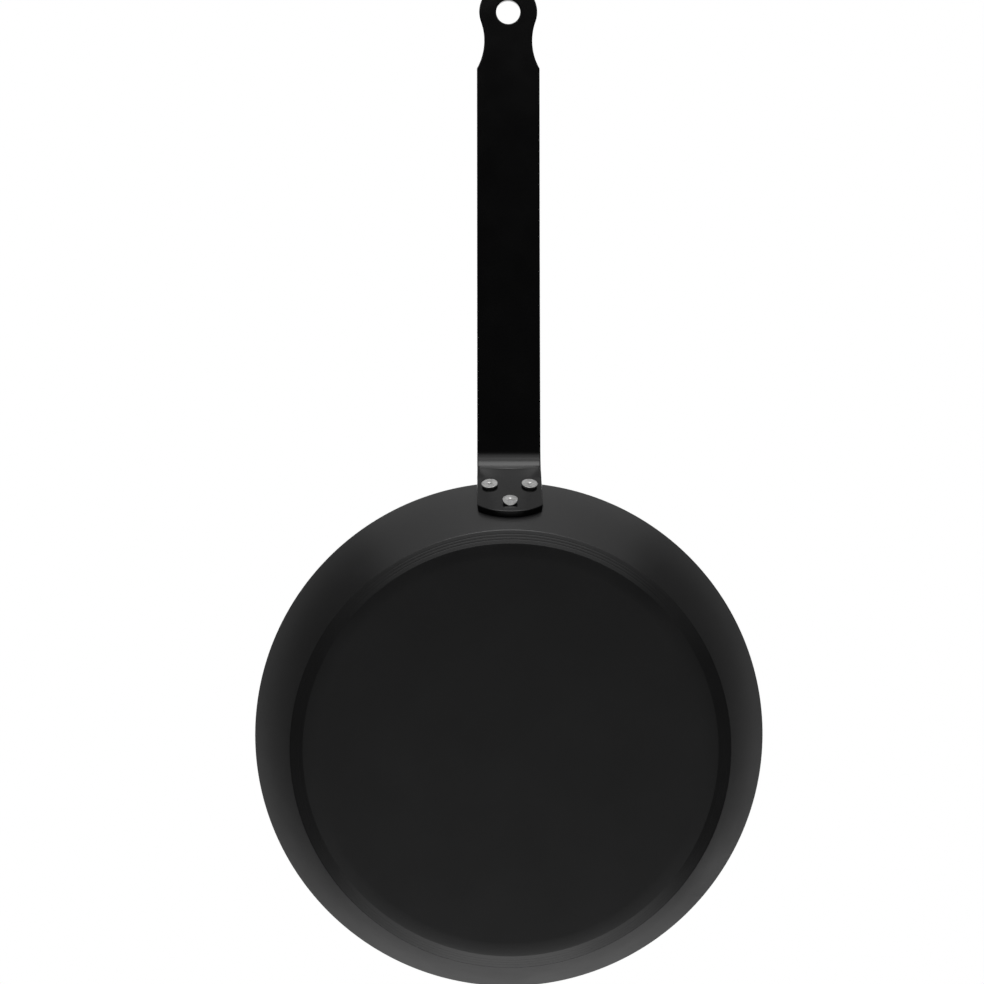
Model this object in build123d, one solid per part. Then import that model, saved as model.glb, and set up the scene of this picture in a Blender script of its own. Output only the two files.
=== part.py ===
"""Crepe pan: a pressed pan body, a bent flat-bar handle and the three rivets that join them.

Millimetres, +Z up. The origin is the middle of the underside of the base, and the handle runs out along +Y.
A place on the flared wall is given by its drop, the distance down the slope from the rim, and by how far it
lies across from the middle of the handle.
"""

import os
from math import asin, cos, degrees, radians, sin, sqrt, tan

from build123d import *

# Pan body: a flat base that turns up a little to an edge, a narrow shallow facet, and the flared wall
rim_radius = 120.0
pan_height = 38.0
wall_slope = 60.0
sheet_thickness = 3.0
base_edge_rise = 0.57
base_edge_tilt = 10.0
facet_rise = 2.42
facet_tilt = 22.0
edge_rounding = 0.5
wall_foot_radius = 3.5
inner_corner_radius = 9.0
rim_rounding = 1.0

# Tang: the end of the bar that is curled to the wall and riveted to it
bar_width = 30.0
bar_thickness = 3.0
tang_length = 30.2
tang_end_radius = 20.0
tang_corner_radius = 2.0

# Run: the bar flattens above the rim, bends out, and rises less and less to a straight end
bend_above_rim = 6.5
bend_inner_radius = 12.0
rise_at_bend = 8.0
rise_at_eye = 3.6
eye_reach = 343.5
straight_end_length = 72.0

# Hanging eye
eye_radius = 13.9
eye_hole_radius = 5.75
neck_half_width = 11.5
neck_radius = 27.0
shoulder_rounding = 1.0

# Rivets: a flat closed head on the tang and a low round head in the pan
rivet_shank_radius = 2.5
rivet_head_radius = 4.0
rivet_head_height = 1.8
rivet_head_rounding = 0.4
inner_head_radius = 5.0
inner_head_height = 1.4
inner_head_rounding = 0.9
upper_rivet_drop = 7.5
lower_rivet_drop = 22.3
rivet_spacing = 18.0

# Fits and cuts
seat_clearance = 0.02
rivet_hole_clearance = 0.05
cut_overrun = 2.0

slope = radians(wall_slope)
BAR_UP_WALL = Vector(0, cos(slope), sin(slope))
BAR_OUT_OF_WALL = Vector(0, sin(slope), -cos(slope))
RIM_POINT = Vector(0, rim_radius, pan_height)
ACROSS_BAR = Vector(1, 0, 0)


def wall_radius(drop):
    """Radius of the outer wall at a drop below the rim."""
    return rim_radius - drop * cos(slope)


def corner_near(face, x, y):
    """The corner of a flat outline that lies nearest to a point."""
    return face.vertices().sort_by_distance(Vector(x, y, 0))[0]


def pan_blank():
    """The pressed pan, turned about its axis, before it is drilled."""
    foot_height = base_edge_rise + facet_rise
    foot_radius = rim_radius - (pan_height - foot_height) / tan(slope)
    edge_radius = foot_radius - facet_rise / tan(radians(facet_tilt))
    turn_up_radius = base_edge_rise / (1 - cos(radians(base_edge_tilt)))
    flat_radius = edge_radius - turn_up_radius * sin(radians(base_edge_tilt))
    inner_rim_radius = rim_radius - sheet_thickness * sin(slope)
    inner_rim_height = pan_height + sheet_thickness * cos(slope)
    inner_corner = inner_rim_radius - (inner_rim_height - sheet_thickness) / tan(slope)
    turn_up = CenterArc((flat_radius, turn_up_radius), turn_up_radius, -90, base_edge_tilt)
    outline = Polyline(
        turn_up @ 1,
        (foot_radius, foot_height),
        (rim_radius, pan_height),
        (inner_rim_radius, inner_rim_height),
        (inner_corner, sheet_thickness),
        (0, sheet_thickness),
        (0, 0),
        turn_up @ 0,
    )
    half_section = make_face([turn_up, *outline.edges()])
    roundings = [
        (edge_radius, base_edge_rise, edge_rounding),
        (foot_radius, foot_height, wall_foot_radius),
        (rim_radius, pan_height, rim_rounding),
        (inner_rim_radius, inner_rim_height, rim_rounding),
        (inner_corner, sheet_thickness, inner_corner_radius),
    ]
    for x, y, radius in roundings:
        half_section = fillet(corner_near(half_section, x, y), radius)
    return revolve(Plane.XZ * half_section, Axis.Z)


def bar_plane(point, rise):
    """Plane square to the bar: local X across it, local Y out of its underside, local Z along it."""
    return Plane(origin=point, x_dir=ACROSS_BAR, z_dir=(0, cos(rise), sin(rise)))


def flat_section(plane):
    """Section of the bar where it is flat."""
    return plane * Rectangle(bar_width, bar_thickness)


def curled_section(drop):
    """Section of the bar where it is curled to the wall's own curvature, a clearance away from the wall."""
    inner = wall_radius(drop) / sin(slope) + seat_clearance
    outer = inner + bar_thickness
    half_angle = degrees(bar_width / (inner + outer))
    centre = (0, seat_clearance - inner)
    inner_arc = CenterArc(centre, inner, 90 - half_angle, 2 * half_angle)
    outer_arc = CenterArc(centre, outer, 90 - half_angle, 2 * half_angle)
    sides = [Line(inner_arc @ end, outer_arc @ end) for end in (0, 1)]
    return bar_plane(RIM_POINT - BAR_UP_WALL * drop, slope) * make_face([inner_arc, outer_arc, *sides])


def tang_outline():
    """Block with the tang's round end, square to the wall at the middle of the bar and wider than the bar."""
    centre = Pos(0, tang_end_radius - tang_length)
    upper = Rectangle(2 * tang_end_radius, tang_length, align=(Align.CENTER, Align.MIN))
    plane = Plane(origin=RIM_POINT, x_dir=ACROSS_BAR, z_dir=BAR_OUT_OF_WALL * -1)
    outline = plane * (centre * Circle(tang_end_radius) + centre * upper)
    return extrude(outline, amount=bar_thickness + cut_overrun, both=True)


def tang(bend_start):
    """The riveted end: curled from its round end up to the rim, then flattening up to the bend."""
    curled = loft([curled_section(tang_length + cut_overrun), curled_section(0)], ruled=True)
    curled &= tang_outline()
    corners = curled.edges().filter_by(GeomType.LINE).group_by(Axis.Z)[0]
    curled = fillet(corners, tang_corner_radius)
    flattening = loft([curled_section(0), flat_section(bar_plane(bend_start, slope))], ruled=True)
    return curled + flattening


def arc_end(start, radius, start_rise, end_rise):
    """End of an arc of the bar's middle line whose centre lies under the bar."""
    run = radius * (sin(start_rise) - sin(end_rise))
    climb = radius * (cos(end_rise) - cos(start_rise))
    return start + Vector(0, run, climb)


def bar_arc(start, radius, start_rise, end_rise):
    """The bar along an arc whose centre lies under it."""
    plane = bar_plane(start, start_rise)
    pivot = Axis(origin=plane.from_local_coords((0, radius, 0)), direction=ACROSS_BAR)
    return revolve(flat_section(plane), pivot, revolution_arc=degrees(end_rise - start_rise))


def straight_end(start):
    """The straight end of the bar with its shoulders, neck and eye, bored for a hook."""
    side = bar_width / 2
    neck_centre_across = neck_half_width + neck_radius
    neck_centre_along = straight_end_length - sqrt((eye_radius + neck_radius) ** 2 - neck_centre_across**2)
    shoulder_along = neck_centre_along - sqrt(neck_radius**2 - (neck_centre_across - side) ** 2)
    eye_share = eye_radius / (eye_radius + neck_radius)
    tangent_across = neck_centre_across * eye_share
    tangent_along = straight_end_length - (straight_end_length - neck_centre_along) * eye_share
    right = [
        Line((side, 0), (side, shoulder_along)),
        ThreePointArc(
            (side, shoulder_along), (neck_half_width, neck_centre_along), (tangent_across, tangent_along)
        ),
    ]
    left = [mirror(edge, Plane.YZ) for edge in right]
    eye = ThreePointArc(
        (tangent_across, tangent_along),
        (0, straight_end_length + eye_radius),
        (-tangent_across, tangent_along),
    )
    outline = make_face([*right, eye, *left, Line((-side, 0), (side, 0))])
    shoulders = [corner_near(outline, x, shoulder_along) for x in (side, -side)]
    outline = fillet(shoulders, shoulder_rounding)
    outline -= Pos(0, straight_end_length) * Circle(eye_hole_radius)
    rise = radians(rise_at_eye)
    plane = Plane(origin=start, x_dir=ACROSS_BAR, z_dir=(0, -sin(rise), cos(rise)))
    return extrude(plane * outline, amount=bar_thickness / 2, both=True)


def handle_blank():
    """The whole bar, bent and shaped, before it is drilled for the rivets."""
    bend_rise = radians(rise_at_bend)
    eye_rise = radians(rise_at_eye)
    bend_radius = bend_inner_radius + bar_thickness / 2
    middle = seat_clearance + bar_thickness / 2
    bend_start = RIM_POINT + BAR_UP_WALL * bend_above_rim + BAR_OUT_OF_WALL * middle
    sweep_start = arc_end(bend_start, bend_radius, slope, bend_rise)
    run_left = eye_reach - straight_end_length * cos(eye_rise) - sweep_start.Y
    sweep_radius = run_left / (sin(bend_rise) - sin(eye_rise))
    end_start = arc_end(sweep_start, sweep_radius, bend_rise, eye_rise)
    bar = tang(bend_start)
    bar += bar_arc(bend_start, bend_radius, slope, bend_rise)
    bar += bar_arc(sweep_start, sweep_radius, bend_rise, eye_rise)
    bar += straight_end(end_start)
    return bar


def wall_normal_plane(drop, across):
    """Plane lying on the outer wall, with local Z straight out of the wall."""
    radius = wall_radius(drop)
    turn = asin(across / radius)
    origin = (radius * sin(turn), radius * cos(turn), pan_height - drop * sin(slope))
    outward = (sin(slope) * sin(turn), sin(slope) * cos(turn), -cos(slope))
    return Plane(origin=origin, x_dir=(cos(turn), -sin(turn), 0), z_dir=outward)


def post(plane, radius, low, high):
    """Round bar along a plane's normal, from one height over the plane to another."""
    standing = (Align.CENTER, Align.CENTER, Align.MIN)
    return plane * Pos(0, 0, low) * Cylinder(radius, high - low, align=standing)


def rivet(plane, pan, bar):
    """One set rivet: its heads follow the faces that they are drawn down on."""
    bar_face = seat_clearance + bar_thickness
    head = post(plane, rivet_head_radius, bar_face - bar_thickness / 2, bar_face + rivet_head_height)
    head = fillet(outermost_edge(head, plane, 1), rivet_head_rounding) - bar
    inner = post(plane, inner_head_radius, -sheet_thickness - inner_head_height, -sheet_thickness / 2)
    inner = fillet(outermost_edge(inner, plane, -1), inner_head_rounding) - pan
    shank = post(
        plane,
        rivet_shank_radius,
        -sheet_thickness - inner_head_height / 2,
        bar_face + rivet_head_height / 2,
    )
    return head + inner + shank


def outermost_edge(body, plane, side):
    """The round edge of a post at its outer end (side 1) or its inner end (side -1)."""
    return body.edges().filter_by(GeomType.CIRCLE).sort_by(Axis(plane.origin, plane.z_dir * side))[-1]


def make_parts():
    """Every piece of the pan under its own name."""
    pan = pan_blank()
    bar = handle_blank()
    places = {
        "rivet_left": wall_normal_plane(upper_rivet_drop, rivet_spacing / 2),
        "rivet_right": wall_normal_plane(upper_rivet_drop, -rivet_spacing / 2),
        "rivet_lower": wall_normal_plane(lower_rivet_drop, 0),
    }
    rivets = {name: rivet(plane, pan, bar) for name, plane in places.items()}
    hole_radius = rivet_shank_radius + rivet_hole_clearance
    low = -sheet_thickness - cut_overrun
    high = bar_thickness + cut_overrun
    for plane in places.values():
        hole = post(plane, hole_radius, low, high)
        pan -= hole
        bar -= hole
    return {"pan_body": pan, "handle": bar, **rivets}


if __name__ == "__main__":
    os.makedirs("parts", exist_ok=True)
    for name, piece in make_parts().items():
        export_step(piece, f"parts/{name}.step")
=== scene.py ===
"""Crepe pan: the look of the pressed body, the bent flat-bar handle and the three rivets, and a studio.

Lengths are in metres in the pan's own frame: the origin is the middle of the underside of the base, +Z is
up out of the pan's mouth, and the handle runs out along +Y. The camera looks up at the underside.
"""

from math import asin, atan2, ceil, cos, hypot, pi, radians, sin, sqrt, tan
from typing import NamedTuple

import bpy
from bpy.props import FloatProperty, FloatVectorProperty, IntProperty, PointerProperty
from mathutils import Matrix, Vector


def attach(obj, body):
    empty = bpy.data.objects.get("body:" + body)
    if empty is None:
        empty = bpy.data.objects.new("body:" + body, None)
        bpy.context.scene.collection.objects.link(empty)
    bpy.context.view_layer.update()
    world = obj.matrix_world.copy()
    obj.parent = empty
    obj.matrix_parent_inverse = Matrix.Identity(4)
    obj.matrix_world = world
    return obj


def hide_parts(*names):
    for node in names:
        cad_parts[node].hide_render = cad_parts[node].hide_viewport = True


bl_info = {
    "name": "Crepe pan",
    "version": (1, 0, 0),
    "blender": (4, 5, 0),
    "location": "View3D > Sidebar > Crepe pan",
    "description": "Models a coated crepe pan with a riveted flat-bar handle, and the studio it stands in",
    "category": "Object",
}

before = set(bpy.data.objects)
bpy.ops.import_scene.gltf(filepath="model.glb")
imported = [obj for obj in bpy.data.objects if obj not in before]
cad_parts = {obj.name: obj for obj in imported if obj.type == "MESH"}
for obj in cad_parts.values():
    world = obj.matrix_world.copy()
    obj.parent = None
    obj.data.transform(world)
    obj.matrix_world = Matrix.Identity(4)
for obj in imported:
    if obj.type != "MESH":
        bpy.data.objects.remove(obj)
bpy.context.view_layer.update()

MM = 0.001

# How close two places are that count as one, and how thin a sliver a cut may not leave
NEAR = 0.02 * MM
SLIVER = 0.001 * MM

# Faces that turn by more than this meet in a sharp edge
CREASE = radians(40)
RIVET_CREASE = radians(25)
SHARP_EDGE = radians(60)


def length(name, description, default):
    """A length that a user may change, given here in millimetres."""
    return FloatProperty(name=name, description=description, default=default * MM, min=0.0, unit="LENGTH")


def angle(name, description, default):
    """An angle that a user may change, given here in degrees."""
    return FloatProperty(name=name, description=description, default=radians(default), unit="ROTATION")


def share(name, description, default, highest=1.0):
    """A plain number that a user may change."""
    return FloatProperty(name=name, description=description, default=default, min=0.0, max=highest)


def colour(name, description, default):
    """A colour that a user may change, in linear light."""
    return FloatVectorProperty(
        name=name, description=description, default=default, min=0.0, max=1.0, size=3, subtype="COLOR"
    )


class PanBodySizes(bpy.types.PropertyGroup):
    """Sizes of the pressed body."""

    rim_radius: length("Rim radius", "Radius at the outer edge of the lip", 120.0)
    height: length("Height", "Height of the lip's outer edge over the base", 38.0)
    wall_slope: angle("Wall slope", "Slope of the wall, from level", 60.0)
    sheet: length("Sheet", "Thickness of the sheet", 3.0)
    edge_rise: length("Base edge rise", "How far the base turns up to its edge", 0.57)
    edge_tilt: angle("Base edge tilt", "Slope of the base where it meets its edge", 10.0)
    facet_rise: length("Facet rise", "Height of the shallow facet at the wall's foot", 2.42)
    facet_tilt: angle("Facet tilt", "Slope of the shallow facet", 22.0)
    edge_rounding: length("Base edge rounding", "Radius of the base's edge", 0.5)
    foot_rounding: length("Foot rounding", "Outer radius where the facet meets the wall", 0.8)
    inner_rounding: length("Inner rounding", "Inner radius where the base meets the wall", 9.0)
    lip_rounding: length("Lip rounding", "Radius of both edges of the lip", 1.0)
    ring_radius: length("Ring radius", "Radius of the innermost turned ring on the facet", 95.6)
    ring_pitch: length("Ring pitch", "Distance from one turned ring to the next", 1.2)
    ring_width: length("Ring width", "Width of a turned ring", 0.6)
    ring_depth: length("Ring depth", "Depth of a turned ring", 0.03)
    ring_count: IntProperty(name="Rings", description="Number of turned rings", default=3, min=0)
    sides: IntProperty(name="Sides", description="Flats round the body", default=256, min=24)


class HandleSizes(bpy.types.PropertyGroup):
    """Sizes of the bent flat bar."""

    width: length("Width", "Width of the bar", 30.0)
    thickness: length("Thickness", "Thickness of the bar", 3.0)
    edge_rounding: length("Edge rounding", "Radius of the bar's long edges", 0.55)
    tang_length: length("Tang length", "How far the riveted end reaches down the wall from the lip", 30.2)
    tang_end_radius: length("Tang end radius", "Radius of the riveted end in plan", 20.0)
    tang_corner_radius: length("Tang corner radius", "Radius of the two corners of the riveted end", 2.0)
    end_slant: length("End slant", "How far the riveted end's cut face leans over its thickness", 0.6)
    above_rim: length("Above the rim", "Straight stretch from the lip to the bend", 6.5)
    bend_inner_radius: length("Bend radius", "Inner radius of the bend", 12.0)
    rise_at_bend: angle("Rise at the bend", "Slope of the bar just past the bend", 8.0)
    rise_at_eye: angle("Rise at the eye", "Slope of the bar's straight end", 3.6)
    eye_reach: length("Eye reach", "Distance from the pan's axis to the middle of the eye", 343.5)
    straight_end: length("Straight end", "Length of the straight end, up to the middle of the eye", 72.0)
    eye_radius: length("Eye radius", "Outer radius of the hanging eye", 13.9)
    eye_hole_radius: length("Eye hole radius", "Radius of the hanging hole", 5.75)
    neck_half_width: length("Neck half width", "Half the width of the neck at its narrowest", 11.5)
    neck_radius: length("Neck radius", "Radius of the hollow on each side of the neck", 27.0)
    shoulder_rounding: length("Shoulder rounding", "Radius where the neck meets the bar's sides", 1.0)
    seat: length("Seat", "Clearance between the riveted end and the wall", 0.02)
    mark_half_width: length("Die mark half width", "Half the width of the die's mark, across the bar", 8.0)
    mark_half_length: length("Die mark half length", "Half its length, along the bar", 0.8)
    mark_depth: length("Die mark depth", "Depth of the die's mark", 0.11)


class RivetSizes(bpy.types.PropertyGroup):
    """Sizes and places of the three rivets."""

    shank_radius: length("Shank radius", "Radius of the shank", 2.5)
    upper_head_radius: length("Upper head radius", "Radius of the upper two outer heads on the bar", 3.4)
    upper_head_top_radius: length("Upper head top radius", "Radius of their spread flat tops", 3.85)
    upper_head_height: length("Upper head height", "Height of the upper two outer heads over the bar", 1.3)
    lower_head_radius: length("Lower head radius", "Radius of the lower outer head on the bar", 3.0)
    lower_head_top_radius: length("Lower head top radius", "Radius of its flat top", 3.6)
    lower_head_height: length("Lower head height", "Height of the lower outer head over the bar", 1.8)
    blow_reach: length("Blow reach", "Distance from the lower head's middle to its slanting flat", 1.3)
    blow_tilt: angle("Blow tilt", "Slope of that flat, from the head's top down to the bar", 40.0)
    head_rounding: length("Head rounding", "Radius of the outer head's edge", 0.2)
    dimple_radius: length("Dimple radius", "Radius of the punch mark in the middle of the head", 1.25)
    dimple_depth: length("Dimple depth", "Depth of the punch mark", 0.2)
    inner_head_radius: length("Inner head radius", "Radius of the head inside the pan", 5.0)
    inner_head_height: length("Inner head height", "Height of the head inside the pan", 1.4)
    inner_head_rounding: length("Inner head rounding", "Radius of the inner head's edge", 0.9)
    upper_drop: length("Upper drop", "How far down the wall the upper two sit", 7.5)
    lower_drop: length("Lower drop", "How far down the wall the lower one sits", 22.3)
    spacing: length("Spacing", "Distance between the upper two", 18.0)
    sides: IntProperty(name="Sides", description="Flats round a rivet", default=64, min=12)


class FinishSettings(bpy.types.PropertyGroup):
    """Colours and gloss of the three finishes."""

    body_colour: colour("Body coating", "Matt black baked coating of the body", (0.0085, 0.0085, 0.0088))
    body_roughness: share("Body roughness", "Roughness of the body's coating", 0.34)
    turning_pitch: length("Turning pitch", "Distance from one faint mark of turning to the next", 0.7)
    handle_colour: colour("Handle coating", "Satin black coating of the bar", (0.0016, 0.0016, 0.0017))
    handle_specular: share("Handle specular level", "Strength of the reflection in the bar's coating", 0.3)
    handle_roughness: share("Handle roughness", "Roughness of the bar's coating", 0.19)
    rivet_colour: colour("Rivet metal", "Bare satin metal of the rivets", (0.45, 0.45, 0.445))
    rivet_roughness: share("Rivet roughness", "Roughness of the rivets", 0.36)


class StageSettings(bpy.types.PropertyGroup):
    """Camera, floor and lamps."""

    camera_place: FloatVectorProperty(
        name="Camera place",
        description="Where the camera stands, under the pan",
        default=(16.25 * MM, 155.95 * MM, -795.24 * MM),
        subtype="TRANSLATION",
        unit="LENGTH",
    )
    camera_turn: FloatVectorProperty(
        name="Camera turn",
        description="Turn of the camera about X, Y and Z",
        default=(radians(-2.807), radians(179.438), radians(0.0124)),
        subtype="EULER",
    )
    lens: FloatProperty(name="Lens", description="Focal length in millimetres", default=65.16, min=1.0)
    sensor: FloatProperty(name="Sensor", description="Sensor width in millimetres", default=36.0, min=1.0)
    clip_start: length("Near limit", "The camera sees nothing nearer than this", 10.0)
    clip_end: length("Far limit", "The camera sees nothing further than this", 100000.0)
    lamps_middle: FloatVectorProperty(
        name="Lamps' middle",
        description="Where the soft boxes are aimed",
        default=(0, 30 * MM, 20 * MM),
        subtype="TRANSLATION",
        unit="LENGTH",
    )
    card_radius: length("Card radius", "Radius of the dim round card just behind the pan", 150.0)
    card_height: length("Card height", "Height of that card over the base", 50.0)
    card_brightness: share("Card brightness", "Brightness of that card, where 1 is white", 0.25)
    room_level: share("Room level", "Brightness of the room round the pan, where 1 is white", 0.06)
    backdrop_reach: angle("Backdrop reach", "Angle from straight up over which the room dims", 21.0)
    floor_size: length("Floor size", "Side of the square floor", 8000.0)
    floor_drop: length("Floor drop", "How far the floor lies under the base", 0.2)
    floor_colour: colour("Floor colour", "Pale floor", (0.86, 0.86, 0.86))
    floor_middle: length("Floor middle", "Middle of the part that keeps the shadow, along the handle", 120.0)
    floor_fade_start: length("Floor fade start", "Radius at which the floor starts to fade to white", 300.0)
    floor_fade_end: length("Floor fade end", "Radius at which the floor is all white", 900.0)
    floor_lift: share("Floor lift", "How white the floor is close to the pan", 0.15)
    floor_roughness: share("Floor roughness", "Roughness of the floor", 0.9)
    lamp_distance: length("Lamp distance", "Distance of the soft boxes from their middle", 1000.0)


# Shaping pieces


def new_piece(name):
    """Names the object that an operator has just added, and its mesh."""
    piece = bpy.context.object
    piece.name = name
    piece.data.name = name
    return piece


def select_only(piece):
    """Selects one object and makes it the active one."""
    bpy.ops.object.select_all(action="DESELECT")
    piece.select_set(True)
    bpy.context.view_layer.objects.active = piece


def select_edges(piece, wanted):
    """Selects the edges whose two ends both pass a test, and leaves the piece in edit mode."""
    bpy.ops.object.mode_set(mode="EDIT")
    bpy.ops.mesh.select_mode(type="EDGE")
    bpy.ops.mesh.select_all(action="DESELECT")
    bpy.ops.object.mode_set(mode="OBJECT")
    mesh = piece.data
    passed = [wanted(vertex.co) for vertex in mesh.vertices]
    for edge in mesh.edges:
        edge.select = all(passed[index] for index in edge.vertices)
    bpy.ops.object.mode_set(mode="EDIT")


def round_edges(piece, wanted, radius, turn, segments):
    """Rounds the chosen edges to a radius, where the faces beside them turn by an angle."""
    select_edges(piece, wanted)
    bpy.ops.mesh.bevel(
        offset_type="OFFSET",
        offset=radius * tan(turn / 2),
        segments=segments,
        profile=0.5,
        affect="EDGES",
        clamp_overlap=False,
    )
    bpy.ops.object.mode_set(mode="OBJECT")


def turned_piece(name, rings, sides):
    """A closed turned shape: a disc drawn out from ring to ring, each given as a radius and a height."""
    bpy.ops.object.select_all(action="DESELECT")
    radius, height = rings[0]
    bpy.ops.mesh.primitive_circle_add(
        vertices=sides, radius=radius, fill_type="NGON", location=(0, 0, height)
    )
    piece = new_piece(name)
    bpy.ops.object.transform_apply(location=True, rotation=True, scale=True)
    bpy.ops.object.mode_set(mode="EDIT")
    bpy.ops.mesh.select_mode(type="FACE")
    bpy.ops.mesh.select_all(action="SELECT")
    for next_radius, next_height in rings[1:]:
        bpy.ops.mesh.extrude_region_move(
            TRANSFORM_OT_translate={"value": (0, 0, next_height - height), "orient_type": "GLOBAL"}
        )
        share_of_last = next_radius / radius
        bpy.ops.transform.resize(
            value=(share_of_last, share_of_last, 1),
            orient_type="GLOBAL",
            center_override=(0, 0, next_height),
        )
        radius, height = next_radius, next_height
    bpy.ops.mesh.select_all(action="SELECT")
    bpy.ops.mesh.normals_make_consistent(inside=False)
    bpy.ops.object.mode_set(mode="OBJECT")
    return piece


def at_ring(radius, height):
    """A test for the points of one ring of a turned shape."""

    def passed(point):
        return abs(hypot(point.x, point.y) - radius) < NEAR and abs(point.z - height) < NEAR

    return passed


def at_both_sides(side, along):
    """A test for the points at one place along a bar, on both its sides."""

    def passed(point):
        return abs(abs(point.x) - side) < NEAR and abs(point.y - along) < NEAR

    return passed


def apply_modifier(piece, kind, **settings):
    """Adds a modifier with its settings and applies it."""
    select_only(piece)
    modifier = piece.modifiers.new(kind.title(), kind)
    for setting, value in settings.items():
        setattr(modifier, setting, value)
    bpy.ops.object.modifier_apply(modifier=modifier.name)


def finish_piece(piece, node, material, crease=CREASE):
    """Smooths a finished piece, gives it its finish and sets it on the frame in place of its node."""
    select_only(piece)
    bpy.ops.object.transform_apply(location=True, rotation=True, scale=True)
    bpy.ops.object.shade_smooth_by_angle(angle=crease)
    apply_modifier(piece, "WEIGHTED_NORMAL", mode="FACE_AREA", keep_sharp=True)
    piece.data.materials.clear()
    piece.data.materials.append(material)
    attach(piece, "root")
    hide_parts(node)


# Finishes

# The part of a noise pattern's range that most of it lies in
NOISE_LOW = 0.3
NOISE_HIGH = 0.7


def new_material(name):
    """An empty material with a principled shader, and what is needed to add nodes to it."""
    material = bpy.data.materials.new(name)
    material.use_nodes = True
    tree = material.node_tree
    shader = tree.nodes["Principled BSDF"]
    return material, tree, shader


def add_node(tree, kind, **settings):
    """A node with its settings."""
    node = tree.nodes.new(kind)
    for setting, value in settings.items():
        setattr(node, setting, value)
    return node


def object_place(tree):
    """The place on the piece, in its own coordinates."""
    return add_node(tree, "ShaderNodeTexCoord").outputs["Object"]


def noise(tree, place, scale, detail, roughness=0.5):
    """A noise pattern on a place, with a scale in blobs to the metre."""
    node = add_node(tree, "ShaderNodeTexNoise")
    node.inputs["Scale"].default_value = scale
    node.inputs["Detail"].default_value = detail
    node.inputs["Roughness"].default_value = roughness
    tree.links.new(place, node.inputs["Vector"])
    return node.outputs["Fac"]


def map_range(tree, value, low, high, to_low, to_high):
    """A value taken from one range to another."""
    node = add_node(tree, "ShaderNodeMapRange")
    for socket, number in (("From Min", low), ("From Max", high), ("To Min", to_low), ("To Max", to_high)):
        node.inputs[socket].default_value = number
    tree.links.new(value, node.inputs["Value"])
    return node.outputs["Result"]


def patchy(tree, pattern, lowest, highest):
    """A value that goes from lowest to highest over the middle part of a noise pattern's range."""
    return map_range(tree, pattern, NOISE_LOW, NOISE_HIGH, lowest, highest)


def patches_round(tree, pattern, middle, below, above):
    """A value that goes from some way below a middle to some way above it."""
    return patchy(tree, pattern, middle - below, middle + above)


def calculate(tree, operation, *values):
    """A sum on values, each a socket or a number."""
    node = add_node(tree, "ShaderNodeMath", operation=operation)
    for socket, value in zip(node.inputs, values):
        if isinstance(value, bpy.types.NodeSocket):
            tree.links.new(value, socket)
        else:
            socket.default_value = value
    return node.outputs["Value"]


def bump(tree, height, distance, under=None):
    """Relief of a height pattern, laid over other relief."""
    node = add_node(tree, "ShaderNodeBump")
    node.inputs["Distance"].default_value = distance
    node.inputs["Strength"].default_value = 1.0
    tree.links.new(height, node.inputs["Height"])
    if under is not None:
        tree.links.new(under, node.inputs["Normal"])
    return node.outputs["Normal"]


def tinted(tree, rgb, amount):
    """A colour times an amount."""
    node = add_node(tree, "ShaderNodeVectorMath", operation="SCALE")
    node.inputs[0].default_value = rgb
    tree.links.new(amount, node.inputs["Scale"])
    return node.outputs["Vector"]


def coat(tree, shader, rgb, tone, gloss, relief):
    """Gives a shader its colour times a tone, its roughness and its relief."""
    tree.links.new(tinted(tree, rgb, tone), shader.inputs["Base Color"])
    tree.links.new(gloss, shader.inputs["Roughness"])
    tree.links.new(relief, shader.inputs["Normal"])


def from_axis(tree, place):
    """Distance of a place from the Z axis."""
    parts = add_node(tree, "ShaderNodeSeparateXYZ")
    tree.links.new(place, parts.inputs[0])
    squares = [calculate(tree, "MULTIPLY", parts.outputs[axis], parts.outputs[axis]) for axis in "XY"]
    return calculate(tree, "SQRT", calculate(tree, "ADD", *squares))


def body_coating(finish):
    """Matt black baked coating: fine grain over faint turning marks, a little uneven in tone and gloss."""
    material, tree, shader = new_material("matt_black_coating")
    place = object_place(tree)
    cloud = noise(tree, place, scale=30, detail=4, roughness=0.6)
    grain = noise(tree, place, scale=3200, detail=2)
    turns_to_metre = 2 * pi / finish.turning_pitch
    turning = calculate(tree, "SINE", calculate(tree, "MULTIPLY", from_axis(tree, place), turns_to_metre))
    relief = bump(tree, turning, distance=0.0012 * MM)
    relief = bump(tree, grain, distance=0.012 * MM, under=relief)
    tone = patchy(tree, cloud, lowest=0.9, highest=1.1)
    gloss = patches_round(tree, cloud, finish.body_roughness, below=0.03, above=0.03)
    coat(tree, shader, finish.body_colour, tone, gloss, relief)
    return material


def handle_coating(finish):
    """Satin black coating: a faint orange peel over the rolled bar."""
    material, tree, shader = new_material("satin_black_coating")
    place = object_place(tree)
    cloud = noise(tree, place, scale=45, detail=3, roughness=0.6)
    peel = noise(tree, place, scale=900, detail=2)
    grain = noise(tree, place, scale=4200, detail=2)
    relief = bump(tree, peel, distance=0.008 * MM)
    relief = bump(tree, grain, distance=0.004 * MM, under=relief)
    tone = patchy(tree, cloud, lowest=0.88, highest=1.12)
    gloss = patches_round(tree, cloud, finish.handle_roughness, below=0.03, above=0.03)
    coat(tree, shader, finish.handle_colour, tone, gloss, relief)
    shader.inputs["Specular IOR Level"].default_value = finish.handle_specular
    return material


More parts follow.
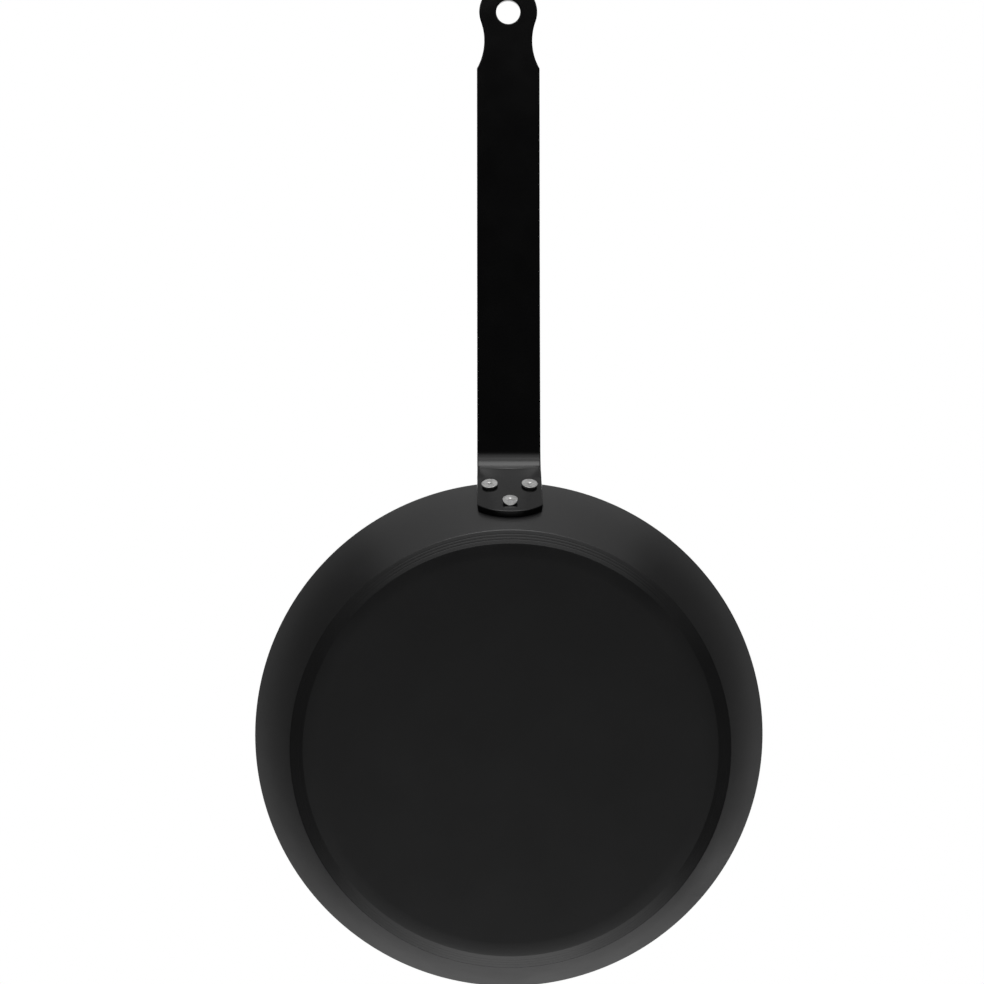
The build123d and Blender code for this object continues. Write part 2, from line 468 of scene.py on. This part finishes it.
def rivet_metal(finish):
    """Bare metal, dulled and lightly marked by the hammer that set it."""
    material, tree, shader = new_material("satin_rivet_metal")
    place = object_place(tree)
    cloud = noise(tree, place, scale=420, detail=3, roughness=0.6)
    grain = noise(tree, place, scale=2600, detail=3)
    relief = bump(tree, cloud, distance=0.1 * MM)
    relief = bump(tree, grain, distance=0.015 * MM, under=relief)
    tone = patchy(tree, cloud, lowest=0.72, highest=1.12)
    gloss = patches_round(tree, grain, finish.rivet_roughness, below=0.05, above=0.08)
    coat(tree, shader, finish.rivet_colour, tone, gloss, relief)
    shader.inputs["Metallic"].default_value = 1.0
    return material


# Pan body


def wall_radius(body, drop):
    """Radius of the outer wall at a distance down the slope from the lip."""
    return body.rim_radius - drop * cos(body.wall_slope)


def wall_place(body, drop, across):
    """Turn and shift that take +Z to the way straight out of the wall, at a drop and a distance across."""
    radius = wall_radius(body, drop)
    turn = asin(across / radius)
    height = body.height - drop * sin(body.wall_slope)
    level = sin(body.wall_slope)
    outward = Vector((level * sin(turn), level * cos(turn), -cos(body.wall_slope)))
    across_wall = Vector((cos(turn), -sin(turn), 0))
    up_wall = outward.cross(across_wall)
    turned = Matrix((across_wall, up_wall, outward)).transposed().to_4x4()
    return Matrix.Translation((radius * sin(turn), radius * cos(turn), height)) @ turned


def facet_rings(body, edge_radius):
    """Places along the facet, from its inner edge, that give it the shallow marks of turning."""
    slope = tan(body.facet_tilt)
    steps = 6
    places = []
    for ring in range(body.ring_count):
        middle = body.ring_radius + ring * body.ring_pitch
        for step in range(steps + 1):
            share_across = step / steps
            radius = middle + body.ring_width * (share_across - 0.5)
            depth = body.ring_depth * (1 - cos(2 * pi * share_across)) / 2
            height = body.edge_rise + (radius - edge_radius) * slope
            places.append((radius - depth * sin(body.facet_tilt), height + depth * cos(body.facet_tilt)))
    return places


class CREPEPAN_OT_pan_body(bpy.types.Operator):
    """Models the pressed pan body: base, turned-up edge, ringed facet, flared wall and rounded lip"""

    bl_idname = "crepepan.pan_body"
    bl_label = "Pan body"

    def execute(self, context):
        body = context.scene.crepepan_body
        slope = body.wall_slope
        foot_height = body.edge_rise + body.facet_rise
        foot_radius = body.rim_radius - (body.height - foot_height) / tan(slope)
        edge_radius = foot_radius - body.facet_rise / tan(body.facet_tilt)
        turn_up_radius = body.edge_rise / (1 - cos(body.edge_tilt))
        turn_up_start = edge_radius - body.edge_rise / tan(body.edge_tilt)
        lip_radius = body.rim_radius - body.sheet * sin(slope)
        lip_height = body.height + body.sheet * cos(slope)
        inner_corner = lip_radius - (lip_height - body.sheet) / tan(slope)
        rings = [
            (turn_up_start, 0),
            (edge_radius, body.edge_rise),
            *facet_rings(body, edge_radius),
            (foot_radius, foot_height),
            (body.rim_radius, body.height),
            (lip_radius, lip_height),
            (inner_corner, body.sheet),
        ]
        piece = turned_piece("pan_body_pressing", rings, body.sides)
        # Radius and height of the ring, radius of its rounding, turn of the faces there, and segments
        roundings = [
            (inner_corner, body.sheet, body.inner_rounding, slope, 12),
            (lip_radius, lip_height, body.lip_rounding, pi / 2, 6),
            (body.rim_radius, body.height, body.lip_rounding, pi / 2, 6),
            (foot_radius, foot_height, body.foot_rounding, slope - body.facet_tilt, 10),
            (edge_radius, body.edge_rise, body.edge_rounding, body.facet_tilt - body.edge_tilt, 4),
            (turn_up_start, 0, turn_up_radius, body.edge_tilt, 10),
        ]
        for radius, height, rounding, turn, segments in roundings:
            round_edges(piece, at_ring(radius, height), rounding, turn, segments)
        finish_piece(piece, "pan_body", body_coating(context.scene.crepepan_finish))
        return {"FINISHED"}


# Handle

# Turn from one point of a drawn arc to the next
ARC_STEP = radians(3)

# Distances between the cuts that let the bar curl and bend
TANG_STEP = 1.2 * MM
MARK_STEP = 0.25 * MM
BEND_STEP = 0.45 * MM
RUN_STEP = 6 * MM
ACROSS_STEP = 1.5 * MM

# How far the outermost cuts stay from the bar's riveted end and from its sides
END_MARGIN = 1.5 * MM
SIDE_MARGIN = 1.5 * MM


def draw_line(end):
    """Draws an outline on from its last point to another."""
    last = last_point()
    bpy.ops.mesh.extrude_vertices_move(
        TRANSFORM_OT_translate={"value": (end[0] - last.x, end[1] - last.y, 0), "orient_type": "GLOBAL"}
    )


def draw_arc(centre, end, clockwise):
    """Draws an outline on from its last point to another, round a centre."""
    last = last_point()
    start_angle = atan2(last.y - centre[1], last.x - centre[0])
    end_angle = atan2(end[1] - centre[1], end[0] - centre[0])
    turn = (end_angle - start_angle) % (2 * pi)
    if clockwise:
        turn -= 2 * pi
    steps = ceil(abs(turn) / ARC_STEP)
    bpy.ops.mesh.spin(steps=steps, angle=turn, center=(centre[0], centre[1], 0), axis=(0, 0, -1))


def last_point():
    """The one point that is selected in edit mode."""
    mesh = bpy.context.object
    mesh.update_from_editmode()
    return next(vertex.co.copy() for vertex in mesh.data.vertices if vertex.select)


def cut_across(piece, axis, places):
    """Cuts the piece's faces along planes square to an axis."""
    select_only(piece)
    bpy.ops.object.mode_set(mode="EDIT")
    for place in places:
        bpy.ops.mesh.select_all(action="SELECT")
        bpy.ops.mesh.bisect(plane_co=axis * place, plane_no=axis, threshold=SLIVER)
    bpy.ops.object.mode_set(mode="OBJECT")


def evenly(start, end, step):
    """Places from a start to an end, no more than a step apart."""
    count = ceil((end - start) / step)
    return [start + (end - start) * index / count for index in range(count + 1)]


class BarPath:
    """Middle line of the bar: up the wall, round the bend, out along the long arc and straight to the eye.

    A place on it is a distance from the level of the lip, minus below it.
    """

    def __init__(self, bar, body):
        self.slope = body.wall_slope
        self.bend_radius = bar.bend_inner_radius + bar.thickness / 2
        self.bend_start = bar.above_rim
        self.bend_end = self.bend_start + self.bend_radius * (self.slope - bar.rise_at_bend)
        off_wall = bar.seat + bar.thickness / 2
        rim = Vector((0, body.rim_radius, body.height))
        self.rim_point = rim + self.under(self.slope) * off_wall
        start = self.rim_point + self.along(self.slope) * self.bend_start
        arc_start = start + self.arc(self.bend_radius, self.slope, bar.rise_at_bend)
        run = bar.eye_reach - bar.straight_end * cos(bar.rise_at_eye) - arc_start.y
        self.arc_radius = run / (sin(bar.rise_at_bend) - sin(bar.rise_at_eye))
        self.arc_end = self.bend_end + self.arc_radius * (bar.rise_at_bend - bar.rise_at_eye)
        self.eye = self.arc_end + bar.straight_end
        end_start = arc_start + self.arc(self.arc_radius, bar.rise_at_bend, bar.rise_at_eye)
        self.stretches = [
            (self.bend_start, start, self.slope, self.bend_radius),
            (self.bend_end, arc_start, bar.rise_at_bend, self.arc_radius),
            (self.arc_end, end_start, bar.rise_at_eye, None),
        ]

    @staticmethod
    def along(rise):
        """Way along the bar where it has a rise."""
        return Vector((0, cos(rise), sin(rise)))

    @staticmethod
    def under(rise):
        """Way out of the bar's underside where it has a rise."""
        return Vector((0, sin(rise), -cos(rise)))

    @staticmethod
    def arc(radius, start_rise, end_rise):
        """Shift from one end of an arc to the other, its centre under the bar."""
        return Vector((0, sin(start_rise) - sin(end_rise), cos(end_rise) - cos(start_rise))) * radius

    def at(self, distance):
        """Point of the middle line and the bar's rise there."""
        start, point, rise, radius = 0, self.rim_point, self.slope, None
        for stretch in self.stretches:
            if distance > stretch[0]:
                start, point, rise, radius = stretch
        if radius is None:
            return point + self.along(rise) * (distance - start), rise
        end_rise = rise - (distance - start) / radius
        return point + self.arc(radius, rise, end_rise), end_rise


class BarOutline:
    """Places on the outline of the flat bar, each a distance across and a distance along from the lip."""

    def __init__(self, bar, path):
        self.side = bar.width / 2
        self.eye_centre = (0, path.eye)
        self.eye_top = (0, path.eye + bar.eye_radius)
        reach = bar.eye_radius + bar.neck_radius
        neck_across = bar.neck_half_width + bar.neck_radius
        neck_along = path.eye - sqrt(reach**2 - neck_across**2)
        self.neck_centre = (neck_across, neck_along)
        eye_share = bar.eye_radius / reach
        self.neck_end = (neck_across * eye_share, path.eye - (path.eye - neck_along) * eye_share)
        shoulder_drop = sqrt(bar.neck_radius**2 - (neck_across - self.side) ** 2)
        self.shoulder = neck_along - shoulder_drop
        self.shoulder_turn = atan2(shoulder_drop, neck_across - self.side)
        end_along = bar.tang_end_radius - bar.tang_length
        self.end_centre = (0, end_along)
        self.corner = end_along - sqrt(bar.tang_end_radius**2 - self.side**2)
        self.corner_turn = pi / 2 - asin(self.side / bar.tang_end_radius)


def draw_outline(bar, outline):
    """Draws half of the bar's outline, mirrors it and fills it, and leaves the piece in edit mode."""
    bpy.ops.object.select_all(action="DESELECT")
    bpy.ops.mesh.primitive_plane_add(size=outline.side, location=(0, 0, 0))
    piece = new_piece("handle_bar")
    bpy.ops.object.mode_set(mode="EDIT")
    bpy.ops.mesh.select_mode(type="VERT")
    bpy.ops.mesh.select_all(action="SELECT")
    bpy.ops.mesh.merge(type="CENTER")
    bpy.ops.mesh.select_all(action="SELECT")
    bpy.ops.transform.translate(value=(0, -bar.tang_length, 0), orient_type="GLOBAL")
    draw_arc(outline.end_centre, (outline.side, outline.corner), clockwise=False)
    draw_line((outline.side, outline.shoulder))
    draw_arc(outline.neck_centre, outline.neck_end, clockwise=True)
    draw_arc(outline.eye_centre, outline.eye_top, clockwise=False)
    bpy.ops.object.mode_set(mode="OBJECT")
    apply_modifier(piece, "MIRROR", use_clip=True, merge_threshold=NEAR)
    bpy.ops.object.mode_set(mode="EDIT")
    bpy.ops.mesh.select_all(action="SELECT")
    bpy.ops.mesh.edge_face_add()
    return piece


def bar_blank(bar, path):
    """The bar cut to its outline and lying flat: X across, Y along from the lip, Z out of its underside."""
    outline = BarOutline(bar, path)
    piece = draw_outline(bar, outline)
    bpy.ops.mesh.extrude_region_move(
        TRANSFORM_OT_translate={"value": (0, 0, bar.thickness), "orient_type": "GLOBAL"}
    )
    bpy.ops.mesh.select_all(action="SELECT")
    bpy.ops.transform.translate(value=(0, 0, -bar.thickness / 2), orient_type="GLOBAL")
    bpy.ops.mesh.normals_make_consistent(inside=False)
    bpy.ops.object.mode_set(mode="OBJECT")
    at_corners = at_both_sides(outline.side, outline.corner)
    round_edges(piece, at_corners, bar.tang_corner_radius, outline.corner_turn, segments=6)
    at_shoulders = at_both_sides(outline.side, outline.shoulder)
    round_edges(piece, at_shoulders, bar.shoulder_rounding, outline.shoulder_turn, segments=4)
    lean_end(piece, outline.corner + bar.tang_corner_radius, bar.end_slant)
    drill(piece, (*outline.eye_centre, 0), bar.eye_hole_radius, depth=4 * bar.thickness, sides=64)
    ease_edges(piece, bar.edge_rounding)
    return piece


def ease_edges(piece, rounding):
    """Rounds every sharp edge of a piece."""
    select_only(piece)
    bpy.ops.object.mode_set(mode="EDIT")
    bpy.ops.mesh.select_mode(type="EDGE")
    bpy.ops.mesh.select_all(action="DESELECT")
    bpy.ops.mesh.edges_select_sharp(sharpness=SHARP_EDGE)
    bpy.ops.mesh.bevel(
        offset_type="OFFSET", offset=rounding, segments=4, profile=0.5, affect="EDGES", clamp_overlap=False
    )
    bpy.ops.object.mode_set(mode="OBJECT")


def lean_end(piece, level, slant):
    """Leans the cut face of the riveted end, below a level, so that the bar's underside is the shorter."""
    select_only(piece)
    for way, shift in ((1, slant / 2), (-1, -slant / 2)):
        bpy.ops.object.mode_set(mode="OBJECT")
        for part in (piece.data.vertices, piece.data.edges, piece.data.polygons):
            part.foreach_set("select", [False] * len(part))
        for vertex in piece.data.vertices:
            vertex.select = vertex.co.y < level and vertex.co.z * way > 0
        bpy.ops.object.mode_set(mode="EDIT")
        bpy.ops.mesh.select_mode(type="VERT")
        bpy.ops.transform.translate(value=(0, shift, 0), orient_type="GLOBAL")
    bpy.ops.object.mode_set(mode="OBJECT")


def drill(piece, place, radius, depth, sides):
    """Bores a round hole along Z through a piece, with a bit that is longer than the piece is thick."""
    bpy.ops.object.select_all(action="DESELECT")
    bpy.ops.mesh.primitive_cylinder_add(vertices=sides, radius=radius, depth=depth, location=place)
    drill_bit = bpy.context.object
    apply_modifier(piece, "BOOLEAN", operation="DIFFERENCE", solver="EXACT", object=drill_bit)
    bpy.data.objects.remove(drill_bit)


def die_mark(bar, across, along):
    """Depth of the shallow mark that the bending die leaves in the bar's underside."""
    share_across = 1 - (across / bar.mark_half_width) ** 2
    if share_across <= 0 or abs(along) >= bar.mark_half_length:
        return 0
    return bar.mark_depth * share_across * (1 + cos(pi * along / bar.mark_half_length)) / 2


def bend_bar(piece, bar, body, path):
    """Curls the riveted end to the wall's own cone and lays the bar, flat above the lip, on its path."""
    for vertex in piece.data.vertices:
        across, distance, out = vertex.co
        if out > 0:
            out -= die_mark(bar, across, distance - path.bend_start)
        drop = max(-distance, 0)
        radius = wall_radius(body, drop) / sin(body.wall_slope) + bar.seat + bar.thickness / 2
        turn = across / radius
        curl = min(max(1 - distance / bar.above_rim, 0), 1)
        curled_across = (radius + out) * sin(turn)
        curled_out = (radius + out) * cos(turn) - radius
        across += (curled_across - across) * curl
        out += (curled_out - out) * curl
        point, rise = path.at(distance)
        vertex.co = point + Vector((across, 0, 0)) + path.under(rise) * out


class CREPEPAN_OT_handle(bpy.types.Operator):
    """Models the bar: cut to its outline, its edges eased, curled to the wall at one end, and bent"""

    bl_idname = "crepepan.handle"
    bl_label = "Handle"

    def execute(self, context):
        bar = context.scene.crepepan_handle
        body = context.scene.crepepan_body
        path = BarPath(bar, body)
        piece = bar_blank(bar, path)
        along = Vector((0, 1, 0))
        across = Vector((1, 0, 0))
        first_cut = END_MARGIN - bar.tang_length
        last_side_cut = bar.width / 2 - SIDE_MARGIN
        mark_start = path.bend_start - bar.mark_half_length
        mark_end = path.bend_start + bar.mark_half_length
        cut_across(piece, along, evenly(first_cut, mark_start, TANG_STEP))
        cut_across(piece, along, evenly(mark_start, mark_end, MARK_STEP)[1:])
        cut_across(piece, along, evenly(mark_end, path.bend_end, BEND_STEP)[1:])
        cut_across(piece, along, evenly(path.bend_end, path.arc_end, RUN_STEP)[1:])
        cut_across(piece, across, evenly(-last_side_cut, last_side_cut, ACROSS_STEP))
        bend_bar(piece, bar, body, path)
        finish_piece(piece, "handle", handle_coating(context.scene.crepepan_finish))
        return {"FINISHED"}


# Rivets


class CREPEPAN_OT_rivets(bpy.types.Operator):
    """Models each rivet with its two heads and its punch mark, and sets it in its place"""

    bl_idname = "crepepan.rivets"
    bl_label = "Rivets"

    def execute(self, context):
        rivet = context.scene.crepepan_rivets
        body = context.scene.crepepan_body
        metal = rivet_metal(context.scene.crepepan_finish)
        seat = context.scene.crepepan_handle.seat + context.scene.crepepan_handle.thickness
        half = rivet.spacing / 2
        upper_head = (rivet.upper_head_radius, rivet.upper_head_top_radius, rivet.upper_head_height)
        lower_head = (rivet.lower_head_radius, rivet.lower_head_top_radius, rivet.lower_head_height)
        rivets = (
            ("rivet_left", upper_head, rivet.upper_drop, half),
            ("rivet_right", upper_head, rivet.upper_drop, -half),
            ("rivet_lower", lower_head, rivet.lower_drop, 0),
        )
        for node, head, drop, across in rivets:
            piece = rivet_piece(node + "_set_piece", rivet, body.sheet, seat, head)
            if head == lower_head:
                flatten_side(piece, rivet, seat)
            piece.matrix_world = wall_place(body, drop, across)
            finish_piece(piece, node, metal, RIVET_CREASE)
        return {"FINISHED"}


def flatten_side(piece, rivet, seat):
    """Gives a head the flat of a slanting blow, on its side that faces down the wall."""
    select_only(piece)
    bpy.ops.object.mode_set(mode="EDIT")
    bpy.ops.mesh.select_all(action="SELECT")
    bpy.ops.mesh.bisect(
        plane_co=(0, rivet.blow_reach, seat + rivet.lower_head_height),
        plane_no=(0, sin(rivet.blow_tilt), cos(rivet.blow_tilt)),
        use_fill=True,
        clear_outer=True,
        threshold=SLIVER,
    )
    bpy.ops.object.mode_set(mode="OBJECT")


def rivet_piece(name, rivet, sheet, seat, head):
    """One rivet, standing on Z through the wall's outer face, with its outer head upwards."""
    radius, top_radius, head_height = head
    top = seat + head_height
    inner_seat = -sheet
    bottom = inner_seat - rivet.inner_head_height
    steps = 8
    dimple = []
    for step in range(steps, 0, -1):
        share_out = step / steps
        depth = rivet.dimple_depth * (1 + cos(pi * share_out)) / 2
        dimple.append((rivet.dimple_radius * share_out, top - depth))
    rings = [
        (rivet.inner_head_radius, bottom),
        (rivet.inner_head_radius, inner_seat),
        (rivet.shank_radius, inner_seat),
        (rivet.shank_radius, seat),
        (radius, seat),
        (top_radius, top),
        *dimple,
    ]
    piece = turned_piece(name, rings, rivet.sides)
    taper = atan2(radius - top_radius, head_height)
    round_edges(piece, at_ring(top_radius, top), rivet.head_rounding, pi / 2 - taper, segments=5)
    at_inner_edge = at_ring(rivet.inner_head_radius, bottom)
    round_edges(piece, at_inner_edge, rivet.inner_head_rounding, pi / 2, segments=8)
    return piece


# Stage

HANDLE_SIDE = 1
FAR_SIDE = -1


class SoftBox(NamedTuple):
    """A soft box. Its rise over level and half its height and width are in degrees, as seen from the pan."""

    name: str
    side: int
    rise: float
    half_height: float
    half_width: float
    brightness: float


SOFT_BOXES = (
    SoftBox("lamp_handle_side_wide", HANDLE_SIDE, -8, 46, 44, brightness=0.46),
    SoftBox("lamp_handle_side_low", HANDLE_SIDE, -37, 10, 34, brightness=0.8),
    SoftBox("lamp_handle_side_middle", HANDLE_SIDE, -25, 9, 26, brightness=1.3),
    SoftBox("lamp_handle_side_strip", HANDLE_SIDE, -5, 11, 12, brightness=4.4),
    SoftBox("lamp_far_side_high", FAR_SIDE, 25, 14, 33, brightness=0.3),
    SoftBox("lamp_far_side", FAR_SIDE, -20, 16, 35, brightness=1.0),
    SoftBox("lamp_far_side_strip", FAR_SIDE, -28, 24, 16, brightness=0.9),
    SoftBox("lamp_far_side_low", FAR_SIDE, -52, 17, 34, brightness=0.3),
    SoftBox("lamp_front", FAR_SIDE, -82, 9, 34, brightness=0.17),
    SoftBox("lamp_overhead", FAR_SIDE, 89, 30, 30, brightness=1.8),
)


def soft_lamp(name, place, target, width, depth, brightness, shape="RECTANGLE"):
    """A soft box aimed at a target, with a brightness that doesn't depend on its size, where 1 is white."""
    bpy.ops.object.light_add(type="AREA", location=place)
    lamp = bpy.context.object
    lamp.name = name
    lamp.data.shape = shape
    lamp.data.size = width
    lamp.data.size_y = depth
    area = width * depth * (pi / 4 if shape == "ELLIPSE" else 1)
    lamp.data.energy = brightness * pi * area
    aim = Vector(target) - Vector(place)
    lamp.rotation_euler = aim.to_track_quat("-Z", "Y").to_euler()
    lamp.visible_camera = False
    return lamp


def mixed(tree, amount, first, second):
    """One shader faded into another."""
    mix = add_node(tree, "ShaderNodeMixShader")
    tree.links.new(amount, mix.inputs[0])
    tree.links.new(first, mix.inputs[1])
    tree.links.new(second, mix.inputs[2])
    return mix.outputs[0]


def floor_material(stage):
    """Pale floor, seen only from above, that keeps the shadow near the pan and fades to white round it."""
    material, tree, shader = new_material("pale_floor")
    shader.inputs["Base Color"].default_value = (*stage.floor_colour, 1)
    shader.inputs["Roughness"].default_value = stage.floor_roughness
    shader.inputs["Specular IOR Level"].default_value = 0.0
    distance = add_node(tree, "ShaderNodeVectorMath", operation="DISTANCE")
    tree.links.new(object_place(tree), distance.inputs[0])
    distance.inputs[1].default_value = (0, stage.floor_middle, 0)
    fade = add_node(tree, "ShaderNodeMapRange", interpolation_type="SMOOTHSTEP")
    tree.links.new(distance.outputs["Value"], fade.inputs["Value"])
    fade.inputs["From Min"].default_value = stage.floor_fade_start
    fade.inputs["From Max"].default_value = stage.floor_fade_end
    fade.inputs["To Min"].default_value = stage.floor_lift
    white = add_node(tree, "ShaderNodeEmission").outputs[0]
    faded = mixed(tree, fade.outputs["Result"], shader.outputs[0], white)
    clear = add_node(tree, "ShaderNodeBsdfTransparent").outputs[0]
    side = add_node(tree, "ShaderNodeNewGeometry").outputs["Backfacing"]
    seen = mixed(tree, side, faded, clear)
    tree.links.new(seen, tree.nodes["Material Output"].inputs["Surface"])
    return material


def studio_world(room_level, backdrop_reach):
    """A dim room that is white straight above the pan, and for the camera white all round."""
    world = bpy.data.worlds.new("studio")
    bpy.context.scene.world = world
    world.use_nodes = True
    tree = world.node_tree
    ray = add_node(tree, "ShaderNodeLightPath")
    direction = add_node(tree, "ShaderNodeTexCoord").outputs["Generated"]
    parts = add_node(tree, "ShaderNodeSeparateXYZ")
    tree.links.new(direction, parts.inputs[0])
    room = map_range(tree, parts.outputs["Z"], cos(backdrop_reach), 1, room_level, 1)
    strength = calculate(tree, "MAXIMUM", ray.outputs["Is Camera Ray"], room)
    tree.links.new(strength, tree.nodes["Background"].inputs["Strength"])
    tree.nodes["Background"].inputs["Color"].default_value = (1, 1, 1, 1)


class CREPEPAN_OT_stage(bpy.types.Operator):
    """Sets up the camera, the pale floor, the soft lamps and the white surroundings"""

    bl_idname = "crepepan.stage"
    bl_label = "Stage"

    def execute(self, context):
        stage = context.scene.crepepan_stage
        scene = context.scene
        scene.view_settings.view_transform = "Standard"
        bpy.ops.object.select_all(action="DESELECT")
        bpy.ops.object.camera_add(location=stage.camera_place, rotation=stage.camera_turn)
        camera = context.object
        camera.name = "camera"
        camera.data.lens = stage.lens
        camera.data.sensor_width = stage.sensor
        camera.data.clip_start = stage.clip_start
        camera.data.clip_end = stage.clip_end
        scene.camera = camera
        bpy.ops.mesh.primitive_plane_add(size=stage.floor_size, location=(0, 0, -stage.floor_drop))
        floor = new_piece("floor")
        floor.data.materials.append(floor_material(stage))
        for ray in ("diffuse", "glossy", "transmission", "shadow"):
            setattr(floor, "visible_" + ray, False)
        for box in SOFT_BOXES:
            rise = radians(box.rise)
            way = Vector((0, box.side * cos(rise), sin(rise)))
            place = stage.lamps_middle + way * stage.lamp_distance
            width = 2 * stage.lamp_distance * tan(radians(box.half_width))
            height = 2 * stage.lamp_distance * tan(radians(box.half_height))
            soft_lamp(box.name, place, stage.lamps_middle, width, height, box.brightness)
        width = 2 * stage.card_radius
        place = (0, 0, stage.card_height)
        soft_lamp("card_behind", place, (0, 0, 0), width, width, stage.card_brightness, "ELLIPSE")
        studio_world(stage.room_level, stage.backdrop_reach)
        return {"FINISHED"}


class CREPEPAN_PT_panel(bpy.types.Panel):
    """Lists the steps and every setting"""

    bl_idname = "CREPEPAN_PT_panel"
    bl_label = "Crepe pan"
    bl_space_type = "VIEW_3D"
    bl_region_type = "UI"
    bl_category = "Crepe pan"

    def draw(self, context):
        for operator in OPERATORS:
            self.layout.operator(operator.bl_idname)
        for group in GROUPS:
            settings = getattr(context.scene, group)
            for setting in settings.bl_rna.properties:
                if setting.identifier not in ("rna_type", "name"):
                    self.layout.prop(settings, setting.identifier)


OPERATORS = (CREPEPAN_OT_pan_body, CREPEPAN_OT_handle, CREPEPAN_OT_rivets, CREPEPAN_OT_stage)
GROUPS = {
    "crepepan_body": PanBodySizes,
    "crepepan_handle": HandleSizes,
    "crepepan_rivets": RivetSizes,
    "crepepan_finish": FinishSettings,
    "crepepan_stage": StageSettings,
}


def register():
    """Registers the settings, the operators and the panel."""
    for name, group in GROUPS.items():
        bpy.utils.register_class(group)
        setattr(bpy.types.Scene, name, PointerProperty(type=group))
    for operator in OPERATORS:
        bpy.utils.register_class(operator)
    bpy.utils.register_class(CREPEPAN_PT_panel)


def unregister():
    """Takes away what register added."""
    bpy.utils.unregister_class(CREPEPAN_PT_panel)
    for operator in reversed(OPERATORS):
        bpy.utils.unregister_class(operator)
    for name, group in reversed(GROUPS.items()):
        delattr(bpy.types.Scene, name)
        bpy.utils.unregister_class(group)


def main():
    register()
    for operator in OPERATORS:
        group, name = operator.bl_idname.split(".")
        getattr(getattr(bpy.ops, group), name)()


if __name__ == "__main__":
    main()
